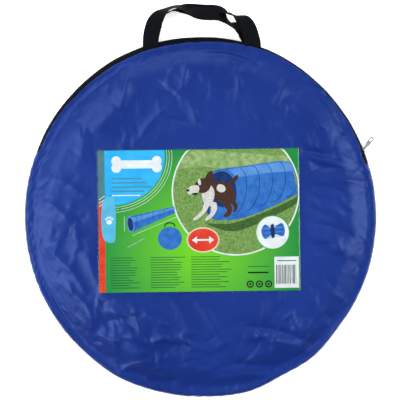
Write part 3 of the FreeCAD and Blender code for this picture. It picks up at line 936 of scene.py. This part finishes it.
def artwork():
    """Every printed shape: (outline, ink, layer), in millimetres from the card's lower left corner."""
    shapes = []

    def put(outline, colour, layer):
        shapes.append((outline, colour, layer))

    def soft(colour, layer, *points):
        put(curve(points), colour, layer)

    def line(colour, layer, width, *points):
        for start, stop in zip(points, points[1:]):
            put(bar(*start, *stop, width), colour, layer)

    def in_picture(outline, colour, layer, margin=0.0):
        put(clip(outline, cu, cv, cr + margin), colour, layer)

    # Spine strip at the left
    put([(0.4, 131), (9.6, 137), (9.6, 209.6), (0.4, 209.6)], "teal", 1)
    put([(0.4, 0.4), (9.6, 0.4), (9.6, 137), (0.4, 131)], "red", 1)
    for k in range(3):
        line("white", 2, 0.9, (0.6, 127 + 5 * k), (9.5, 133 + 5 * k))

    # Cyan corner with a bone where the title stood, and plain lines for its text
    arc = oval(18, 200, 81, 71.5, count=28, start=-97, stop=8)
    sweep = [(max(9.6, u), min(209.6, v)) for u, v in arc]
    put([(9.6, 209.6)] + sweep, "cyan", 1)
    for offset in (3.0, 6.5, 10.5):
        shares = [offset / math.dist(at, (20, 200)) for at in sweep]
        outer = [(u + (u - 20) * far, v + (v - 200) * far) for (u, v), far in zip(sweep, shares)]
        line("white", 1, 0.55, *[(max(9.6, u), min(209.6, v)) for u, v in outer])
    put(rounded_box(28, 183, 86, 195, 5), "white", 2)
    for k, (u, v) in enumerate(((27, 194), (27, 184), (87, 194), (87, 184))):
        put(oval(u, v, 7.2, 7.2), "white", 3 + k)
    for k, long in enumerate((44, 52, 58, 48, 42)):
        v = 168 - 6.2 * k
        line("white" if k == 4 else "teal", 2, 1.5, (20, v), (20 + long, v))

    # Tab at the left
    soft("tab", 2, (6, 82), (22, 74), (25, 90), (25, 128), (22, 140), (6, 134))
    put(oval(15.5, 104, 4.0, 3.4), "white", 3)
    for u, v in ((11.2, 108.5), (14.0, 110.8), (17.2, 110.8), (20.0, 108.5)):
        put(oval(u, v, 1.4, 1.8), "white", 3)

    # Large round picture, with the tunnel on a lawn
    cu, cv, cr = 203.0, 147.0, 92.5
    in_picture(oval(cu, cv, cr + 2.2, cr + 2.2, count=90), "white", 2, 2.2)
    in_picture(oval(cu, cv, cr, cr, count=90), "grass", 3)
    meadow = [(117, 181), (150, 186), (200, 178), (296, 190), (296, 210), (140, 210), (124, 196)]
    in_picture(meadow, "meadow", 4)
    shade = [(160, 100), (196, 100), (240, 114), (280, 131), (296, 140), (296, 130), (250, 106), (200, 88)]
    in_picture(curve(shade), "shade", 4)
    tube = [(180, 181), (210, 184), (240, 188), (270, 192), (296.6, 194)]
    in_picture(tube + [(296.6, 143), (270, 130), (240, 117), (215, 108), (190, 104)], "blue", 5)
    shine = [(192, 180), (230, 185), (268, 190), (294, 192), (294, 178), (250, 174), (204, 168)]
    in_picture(shine, "pale", 6)
    for k in range(1, 6):
        u, v, tall = 182 + 20 * k, 142.5 + 4.6 * k, 38 - 2.0 * k
        arc = oval(u, v, 17 - 0.6 * k, tall, -10, count=12, start=-84, stop=84)
        for start, stop in zip(arc, arc[1:]):
            ends = clip([start, stop], cu, cv, cr)
            if math.dist(*ends) > 0.4:
                line("navy", 7, 0.8, *ends)
    put(oval(181, 143, 27, 38.5, -8), "blue", 8)
    put(oval(180, 142, 24, 35.5, -8), "navy", 9)
    soft("blue", 10, (163, 117), (176, 106), (192, 108), (202, 124), (196, 130), (184, 124), (170, 128))

    # Dog running out of the tunnel
    back = [(158, 156), (166, 161), (178, 163), (190, 160), (199, 152), (203, 141), (200, 132), (192, 128)]
    soft("brown", 11, *back, (182, 131), (172, 136), (163, 143))
    soft("brown", 11, (196, 156), (202, 160), (207, 168), (205, 172), (199, 166), (192, 160))
    soft("fur", 12, (178, 158), (186, 156), (188, 149), (181, 146), (175, 151))
    neck = [(157, 153), (165, 157), (171, 150), (171, 138), (166, 127), (159, 126), (154, 136), (153, 146)]
    soft("fur", 12, *neck)
    head = [(143, 159), (150, 166), (159, 167), (166, 161), (165, 152), (158, 146), (150, 146), (144, 151)]
    soft("brown", 13, *head)
    soft("fur", 14, (132, 152), (140, 157), (148, 156), (149, 149), (144, 143), (136, 143), (131, 147))
    soft("fur", 14, (150, 167), (152, 159), (149, 157), (147, 163))
    soft("brown", 15, (158, 166), (162, 175), (168, 178), (171, 170), (168, 161), (162, 158))
    put(oval(132.5, 149.5, 2.3, 1.9), "black", 15)
    put(oval(146.0, 159.5, 1.3, 1.3), "black", 16)
    soft("black", 16, (137, 144), (143, 146), (148, 145), (143, 142.5))
    leg = [(157, 131), (164, 131), (161, 121), (154, 113), (146, 107), (140, 105), (141, 109), (149, 116)]
    soft("fur", 13, *leg, (154, 123))
    leg = [(166, 130), (174, 131), (175, 121), (170, 112), (163, 106), (157, 105), (160, 110), (166, 117)]
    soft("fur", 12, *leg)
    leg = [(183, 133), (194, 130), (198, 121), (194, 112), (188, 109), (185, 112), (190, 119), (186, 125)]
    soft("brown", 12, *leg)
    soft("brown", 11, (192, 134), (201, 134), (206, 126), (203, 118), (198, 117), (200, 124))

    # Badge with a plain arrow, and the small round picture of the tied tunnel
    put(oval(154, 76, 24.5, 18.8), "cream", 17)
    put(oval(154, 76, 22.3, 16.8), "red", 18)
    line("white", 19, 2.6, (142, 76), (166, 76))
    for tip, wide, side in ((137.5, 145, 1), (170.5, 163, -1)):
        put([(tip, 76), (wide, 81.5), (wide, 70.5)][::side], "white", 19)
    put(oval(257, 86, 25.5, 25.5), "green", 17)
    put(oval(257, 86, 24, 24), "white", 18)
    soft("blue", 19, (240, 88), (246, 98), (256, 92), (270, 100), (275, 90), (272, 80), (258, 84), (246, 76))
    for k in range(6):
        ends = (243 + k * 0.6, 95 - 3.4 * k), (273 - k * 0.4, 97 - 3.2 * k)
        line("pale" if k % 2 else "navy", 20, 0.7, *ends)
    soft("navy", 21, (254, 96), (259, 97), (260, 80), (255, 79))

    # Small drawings: the unfolded tube with its size lines, the bag, and ground pegs
    put([(46, 112), (112, 126), (114, 117), (50, 89)], "blue", 2)
    put([(48, 110), (112, 125), (113, 122.5), (50, 103)], "pale", 3)
    put(oval(47, 100.5, 5.2, 12, 8), "pale", 4)
    put(oval(47, 100.5, 4.0, 10, 8), "navy", 5)
    for k in range(1, 8):
        u = 47 + k * 8.2
        line("navy", 5, 0.4, (u, 113 - 0.2 * k + k * 1.6), (u + 1.2, 92.5 + k * 3.1))
    line("white", 2, 0.5, (50, 84), (116, 111))
    line("white", 2, 0.5, (38, 90), (38, 112))
    put(oval(105, 79, 17.6, 17.0), "blue", 2)
    put(oval(103, 82, 11.0, 10.0, 30), "pale", 3)
    put(oval(105, 78, 15.0, 14.5), "blue", 4)
    line("black", 3, 1.8, *oval(105, 97, 7.5, 5.0, count=14, start=-10, stop=190))
    for k in range(4):
        line("grey", 2, 0.6, (42 + 3 * k, 66 + 1.5 * k), (60 + 3 * k, 76 + 1.5 * k))

    # Blocks of plain lines, round symbols and a box of stripes
    rng = np.random.RandomState(17)
    for left, right, rows in ((17, 61, 13), (76, 130, 13), (136, 200, 13)):
        for k in range(rows):
            long, v = (right - left) * rng.uniform(0.62, 1.0), 51 - 3.7 * k
            line("dark", 2, 1.05, (left, v), (left + long, v))
    line("dark", 2, 1.1, (220, 36), (252, 36))
    line("black", 2, 2.2, (220, 27), (250, 27))
    rings = [(5.4, 18, "black", 2), (3.4, 18, "green", 3), (1.7, 12, "black", 4)]
    for k in range(3):
        for size, count, colour, layer in rings:
            put(oval(223 + 13.5 * k, 10, size, size, count=count), colour, layer)
    put([(259, 4), (295, 4), (295, 50), (259, 50)], "white", 17)
    at = 262.0
    while at < 291:
        wide = rng.choice([0.5, 0.8, 1.2])
        line("black", 18, wide, (at, 10), (at, 38))
        at += wide + rng.choice([0.6, 1.0, 1.4])
    line("black", 18, 1.2, (263, 44), (291, 44))
    return shapes


def film_material():
    """Thin clear film: see-through face on, with a faint rippled shine that grows towards its edges."""
    t = Tree("clear_film")
    ripple = t.times(t.noise(16.0, 3.0, 0.55), 0.0012)
    facing = t.add("LayerWeight", None, Blend=0.5).outputs["Facing"]
    share = t.plus(t.times(t.math("POWER", facing, 4.0), 0.2), 0.015)
    clear = t.add("BsdfTransparent", None, Color=(0.97, 0.985, 0.98, 1.0)).outputs[0]
    shine = t.add("BsdfAnisotropic", None, Roughness=0.14, Normal=t.relief(ripple, 0.7)).outputs[0]
    mixed = t.add("MixShader", None, i0=share, i1=clear, i2=shine).outputs[0]
    t.add("OutputMaterial", None, Surface=mixed)
    return t.material


def make_label(cloth):
    """The card as a board, its print and the clear film over both."""
    card = Card(cloth)
    card.press_cloth(cloth)
    colours = inks()
    names = list(colours)
    board = card.sheet("card_board", 0.0, -0.35 * MM, colours["white"], 0.3 * MM)
    shapes = [([(0, 0), (297, 0), (297, 210), (0, 210)], "green", 0)] + artwork()
    numbered = [(outline, names.index(colour), layer) for outline, colour, layer in shapes]
    art = card.patch("card_print", numbered, colours.values(), 0.0, layer=0.014)
    film = card.sheet("card_film", 1.8, 0.42 * MM, film_material(), 0.08 * MM)
    stands_for(board, "label_card", "bag")
    stands_for(art, "label_card", "bag")
    stands_for(film, "label_film", "bag")


# ---------------------------------------------------------------- handles


def strap(name, route):
    """Flat webbing along a route of (x, y, z, lean): lean turns its face about its length, in degrees."""
    route = np.array(route, float) * (MM, MM, MM, math.pi / 180)
    steps, per, last = [], 10, len(route) - 1
    for k in range(last):
        near = [route[i] for i in (max(k - 1, 0), k, k + 1, min(k + 2, last))]
        steps += [spline(*near, step / per) for step in range(per + (k == last - 1))]
    steps = np.array(steps)
    line, lean = steps[:, :3], steps[:, 3:]
    ahead = np.gradient(line, axis=0)
    ahead /= np.linalg.norm(ahead, axis=1)[:, None]
    flat = np.cross(np.array([0, 0, 1.0]), ahead)
    flat /= np.linalg.norm(flat, axis=1)[:, None]
    across = flat * np.cos(lean) + np.cross(ahead, flat) * np.sin(lean)
    face = np.cross(ahead, across)
    points = []
    for c, a, f in zip(line, across, face):
        for s in np.linspace(-0.5, 0.5, 13):
            rib = 0.00010 * math.cos(s * math.pi * 12)
            points.append(c + a * s * STRAP_WIDTH + f * rib)
    obj = mesh_object(name, points, grid_faces(len(line), 13), strap_cloth)
    thicken(obj, 1.2 * MM, 0)
    bevel = obj.modifiers.new("edges", "BEVEL")
    bevel.width = 0.35 * MM
    bevel.segments = 2
    bevel.limit_method = "ANGLE"
    return obj


# Routes of the two straps: x, y and z in millimetres, and the lean of the face in degrees.
FRONT_STRAP = [
    (-74.2, 250.5, 24, 0), (-74.3, 258.2, 26.4, 0), (-73.2, 272.6, 26, 0), (-69.3, 288.3, 22, -6),
    (-62.4, 301.4, 18.5, -34), (-51.4, 310.5, 15.5, -66), (-38.4, 315.2, 13.5, -72),
    (-27.3, 313.8, 12.8, -60), (-14.2, 311.1, 9, -30), (4.1, 308.6, 5.5, -10), (20.3, 309.1, 6, -22),
    (30.4, 308.4, 9, -48), (38.4, 305.5, 12.5, -80), (47.9, 303.4, 14.5, -86), (56.4, 299.1, 17, -58),
    (64.9, 292.2, 19.5, -18), (71.3, 282.2, 22.5, 0), (75.7, 268.6, 26, 0), (78.1, 258.2, 26.4, 0),
    (78.2, 250.5, 24, 0),
]
BACK_STRAP = [
    (-75.3, 254.9, 1.2, 0), (-75.3, 264, 1.6, 0), (-72.7, 279.1, 2.8, 0), (-68, 291.8, 6, -12),
    (-60.2, 300.3, 10, -48), (-50.5, 305.5, 12.5, -82), (-40.4, 309.9, 13, -76), (-28.3, 310, 13.6, -62),
    (-15.1, 308.1, 15, -50), (-3, 305.1, 16.5, -34), (9.1, 304.1, 17.5, -26), (22.2, 303.9, 17.5, -26),
    (31.2, 300.7, 17, -40), (38.4, 294, 14.5, -64), (46, 288.3, 12.5, -68), (54.7, 285.1, 10, -46),
    (64.4, 280.1, 6.5, -16), (72.1, 270.9, 3.4, 0), (76.3, 262, 1.8, 0), (76.8, 253.9, 1.2, 0),
]


def make_handles():
    """Both carry straps, each laid along its route from sewn end to sewn end."""
    for side, route, body in (("front", FRONT_STRAP, "flap"), ("back", BACK_STRAP, "bag")):
        obj = strap("strap_" + side, route)
        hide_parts(f"handle_{side}", f"handle_{side}_ends")
        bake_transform(obj)


# ---------------------------------------------------------------- slider, tab and stops


def rim_frame(angle, upright, z):
    """A frame at the rim. Its x runs round the rim; its y is straight up, or out if not upright."""
    out = Vector((math.cos(angle), math.sin(angle), 0))
    along = Vector((-math.sin(angle), math.cos(angle), 0))
    return axes(Vector((0, 0, z)), along, (0, 0, 1) if upright else out)


def lifted(frame_at, height):
    """A frame moved along its own z, in millimetres."""
    return frame_at @ Matrix.Translation((0, 0, height * MM))


def make_slider():
    """A moulded slider: two plates, a nose between the rows, side lips and two lugs with a pin."""
    half = [(6.2, 1.6), (5.8, 2.6), (4.6, 3.1), (0.5, 3.7)]
    half += [(-3.2, 4.3), (-4.6, 3.9), (-5.7, 2.6), (-6.2, 0.6)]
    shield = curve([(x, -y) for x, y in half[::-1]] + half, 3)
    lip = [(-3.4, 3.5), (5.6, 2.4), (5.6, 3.0), (-3.4, 4.2)]
    nose = [(-5.2, -0.1), (-4.4, -0.75), (-2.2, -0.3), (-2.2, 0.3), (-4.4, 0.75), (-5.2, 0.1)]
    lug = curve([(-3.0, 264.3), (-2.0, 266.6), (-1.0, 268.1), (0.4, 268.4), (1.5, 267.4), (2.3, 264.3)], 4)
    # Outline, thickness, bevel and place along the frame's z, in millimetres. Flat plates lie on the
    # rim, so that place is their distance from the bag's centre. The rest stand up across it.
    flat = [(shield, 0.8, 0.25, 260.0), (shield, 1.1, 0.35, 264.1), (nose, 3.8, 0.1, 262.0)]
    flat += [([(x, sign * y) for x, y in lip][::sign], 1.7, 0.12, 262.9) for sign in (1, -1)]
    pin = oval(0, PIN_R / MM, 0.8, 0.8, count=20)
    upright = [(lug, 0.9, 0.2, -1.35), (lug, 0.9, 0.2, 1.35), (pin, 3.8, 0.2, 0)]
    pieces = []
    for plates, lies_flat in ((flat, True), (upright, False)):
        for outline, thickness, bevel, at in plates:
            place = lifted(rim_frame(SLIDER_AT, lies_flat, COIL_MID), at)
            pieces.append(cut_plate("part", [outline], thickness, bevel, enamel, place))
    stands_for(joined("slider_body", pieces), "zip_slider", "slider")


def make_tab():
    """A flat tab: an eye round the pin, a waist, and a rounded end with a hole."""
    heading = math.radians(53)
    origin = Vector((PIN_R * math.cos(SLIDER_AT), PIN_R * math.sin(SLIDER_AT), COIL_MID))
    ahead = Vector((math.cos(heading), math.sin(heading), 0))
    flat = axes(origin, ahead, (-ahead.y, ahead.x, 0))
    eye = oval(0, 0, 2.25, 2.25, count=17, start=60, stop=300)
    waist = [(3.2, -2.0), (4.8, -3.0), (9.0, -3.2), (17.0, -3.4), (18.6, -2.9), (19.4, -1.6)]
    outline = eye + waist + [(u, -v) for u, v in waist[::-1]]
    holes = [oval(0, 0, 1.05, 1.05, count=20), rounded_box(12.6, -1.5, 17.0, 1.5, 1.0)]
    plate = cut_plate("tab_plate", [outline] + holes, 1.15, 0.3, tab_enamel, flat)
    ridge = rounded_box(5.2, -0.7, 10.0, 0.7, 0.6)
    raised = [cut_plate("ridge", [ridge], 0.3, 0.1, tab_enamel, lifted(flat, at)) for at in (0.65, -0.65)]
    stands_for(joined("pull_tab_plate", [plate] + raised), "zip_pull_tab", "pull_tab")


def make_stops():
    """A bent metal stop at each end of the rows."""
    for node in ("zip_top_stop", "zip_bottom_stop"):
        middle = sum(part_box(node), Vector()) / 2
        face = rim_frame(math.atan2(middle.y, middle.x), True, middle.z)
        outline = rounded_box(-1.25, -1.9, 1.25, 1.9, 0.6)
        stop = cut_plate(node + "_clip", [outline], 1.8, 0.45, enamel, lifted(face, 262.7))
        stands_for(stop, node, "bag")


# ---------------------------------------------------------------- folded tunnel


def turned_rows(name, rows, angles, material, thickness):
    """A ring of cloth from rows of (radius, height), each given all the way round."""
    faces = grid_faces(len(rows), len(angles), wrap=True)
    obj = mesh_object(name, np.concatenate([polar(r, angles, z) for r, z in rows]), faces, material)
    return thicken(obj, thickness, 0)


def make_pleats():
    """The tunnel's cloth: soft layers that run in and out between the turns of wire."""
    low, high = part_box("tunnel_skin")
    layers, steps, angles = 16, 5, round_turn(300)
    outer, inner, rise = high.x, 0.1455, (high.z - low.z) / layers
    gathers = ring_waves(88, 34, 58)
    rows = []
    for k in range(layers):
        waver = ring_waves(60 + k, 4, 34)
        ruffle = ring_waves(90 + k, 9, 46)
        for step in range(2 * steps):
            share = 1 - abs(step / steps - 1)
            r = outer + (inner - outer) * share + (0.0018 * waver(angles)) * share
            bulge = 0.0002 * ruffle(angles) * math.sin(math.pi * min(1, share * 1.2))
            bulge = bulge + 0.0008 * gathers(angles) * smooth(0.3, 1.0, share)
            rows.append((r, low.z + rise * (k + step / (2 * steps)) + bulge))
    cloth = turned_rows("tunnel_pleats", rows, angles, tunnel_nylon, 0.10 * MM)
    stands_for(cloth, "tunnel_skin", "tunnel")


def make_casing():
    """The strip of cloth sewn over the wire: one small roll for each turn, puckered along its stitches."""
    low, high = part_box("wire_casing")
    rolls, steps, angles = 10, 6, round_turn(480)
    rows = []
    for k in range(rolls):
        waver = ring_waves(130 + k, 24, 110)
        for step in range(steps + (k == rolls - 1)):
            share = step / steps
            swell = abs(math.sin(math.pi * share)) ** 0.7
            r = 0.2264 + 0.0017 * swell + 0.0002 * (0.3 + swell) * waver(angles)
            rows.append((r, low.z + (high.z - low.z) * (k + share) / rolls))
    casing = turned_rows("tunnel_casing", rows, angles, tunnel_nylon, 0.2 * MM)
    stands_for(casing, "wire_casing", "tunnel")


def make_hems():
    """A flat gathered band of cloth round each mouth of the tunnel, with a turned edge."""
    angles = round_turn(480)
    for node, name in (("end_hem_back", "mouth_hem_far"), ("end_hem_front", "mouth_hem_near")):
        low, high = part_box(node)
        middle = (low.z + high.z) / 2
        gather, edge_wave = ring_waves(170 + len(name), 24, 96), ring_waves(175, 4, 26)
        rows = []
        for r in np.concatenate([np.linspace(0.1905, 0.1925, 3), np.linspace(0.196, 0.2278, 9)]):
            turned_edge = 0.12 * MM if r < 0.1926 else 0.0
            free = 1 - smooth(0.190, 0.212, r)
            z = middle + turned_edge + 0.00016 * gather(angles) * (0.3 + free)
            rows.append((r + 0.0012 * edge_wave(angles) * free, z))
        hem = turned_rows(name, rows, angles, hem_nylon, 0.35 * MM)
        stands_for(hem, node, "tunnel")


def ribbon_strip(name, profile, half, heading, thickness, material=ribbon_cloth, closed=False):
    """A ribbon bent along a (radius, height) line in metres, on one heading round the tunnel."""
    profile = list(profile) + ([profile[0]] if closed else [])
    across = [(s * half, 0.12 * MM * math.cos(s * math.pi)) for s in np.linspace(-1, 1, 7)]
    points = [(r, along, z + rib) for r, z in profile for along, rib in across]
    obj = mesh_object(name, points, grid_faces(len(profile), 7), material)
    if closed:
        ring = bmesh.new()
        ring.from_mesh(obj.data)
        bmesh.ops.remove_doubles(ring, verts=ring.verts[:], dist=1e-6)
        ring.to_mesh(obj.data)
        ring.free()
    thicken(obj, thickness, 0)
    obj.data.transform(Matrix.Rotation(math.radians(heading), 4, "Z"))
    return obj


def make_ribbons():
    """Four ribbons tied round the folded layers, each with a flat knot and two short tails."""
    for number, heading in enumerate((45, 135, 225, 315), start=1):
        loop = rounded_box(0.1369, 0.0019, 0.2288, 0.0295, 0.0035)
        knot = rounded_box(0.1765, 0.0288, 0.1850, 0.0322, 0.0012)
        near = [(0.1815, 0.0302), (0.174, 0.0309), (0.166, 0.0303), (0.158, 0.0307), (0.151, 0.0301)]
        away = [(0.1795, 0.0303), (0.188, 0.0311), (0.197, 0.0303), (0.205, 0.0307)]
        pieces = [
            ribbon_strip("loop", loop, 7.3 * MM, heading, 0.5 * MM, closed=True),
            ribbon_strip("knot", knot, 4.2 * MM, heading, 0.6 * MM, closed=True),
            ribbon_strip("tail", near, 3.4 * MM, heading - 1.2, 0.4 * MM),
            ribbon_strip("tail", away, 3.4 * MM, heading + 1.1, 0.4 * MM),
        ]
        tie = joined(f"ribbon_tie_{number}", pieces)
        smooth_shaded(tie.data)
        stands_for(tie, f"tie_ribbon_{number}", "tunnel")


def make_peg_loops():
    """Six folded tabs of ribbon on the hems, which the ground pegs go through."""
    for number in range(1, 7):
        node = f"peg_loop_{number}"
        low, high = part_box(node)
        middle = (low + high) / 2
        heading = math.degrees(math.atan2(middle.y, middle.x))
        base, top = low.z + 0.0002, high.z - 0.0002
        half_way = (base + top) / 2
        fold = [(0.190, base), (0.180, base), (0.171, base), (0.1672, half_way - 0.0002)]
        fold += [(0.1672, half_way + 0.0002), (0.171, top), (0.180, top), (0.190, top)]
        tab = ribbon_strip(f"ground_loop_{number}", fold, 6.8 * MM, heading, 0.25 * MM)
        stands_for(tab, node, "tunnel")


def make_hardware():
    """The wire and the pegs keep their exact shapes and take a metal; the band is a strip of rubber."""
    steel = metal("spring_steel", (92, 96, 102), 0.32, scratch=0.00004)
    zinc = metal("zinc_steel", (176, 180, 184), 0.30, scratch=0.00003)
    for node, finish in [("spring_wire", steel)] + [(f"peg_{number}", zinc) for number in range(1, 7)]:
        mesh = frame["nodes"][node].data
        mesh.materials.clear()
        mesh.materials.append(finish)
    rubber = woven("rubber_band", (150, 112, 70), (168, 128, 84), 0.0011, 0.00004, 0.55, sheen=0.1)
    low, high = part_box("peg_band")
    inset = 0.0003
    outline = rounded_box(low.y + inset, low.z + inset, high.y - inset, high.z - inset, 0.0022)
    half = (high.x - low.x) / 2 - 0.0002
    band = ribbon_strip("peg_elastic", outline, half, -90, 0.6 * MM, rubber, closed=True)
    band.data.transform(Matrix.Scale(-1, 4, (0, 1, 0)) @ Matrix.Translation(((low.x + high.x) / 2, 0, 0)))
    stands_for(band, "peg_band", "tunnel")


# ---------------------------------------------------------------- the whole object


def make_bag():
    """The bag's three cloths, with the card on the front and the front's stitches."""
    front = front_cloth()
    make_label(front)
    ride_fold(front)
    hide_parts("front_panel", "front_flap")
    thread = woven("blue_thread", (16, 40, 116), (30, 58, 140), 0.0005, 0.00002, 0.45, shine=0.4)
    line = lambda angle: seam_r(angle) - SEAM_TO_STITCHES
    stitches = stitch_row("front_seam_stitches", line, cloth_height(front), thread)
    ride_fold(stitches)
    side, back = side_cloth(), back_cloth()
    stands_for(side, "gusset", "bag")
    stands_for(back, "back_panel", "bag")


for make in (
    floor_and_light, make_bag, make_zip, make_slider, make_tab, make_stops, make_handles,
    make_pleats, make_casing, make_hems, make_ribbons, make_peg_loops, make_hardware,
):
    make()
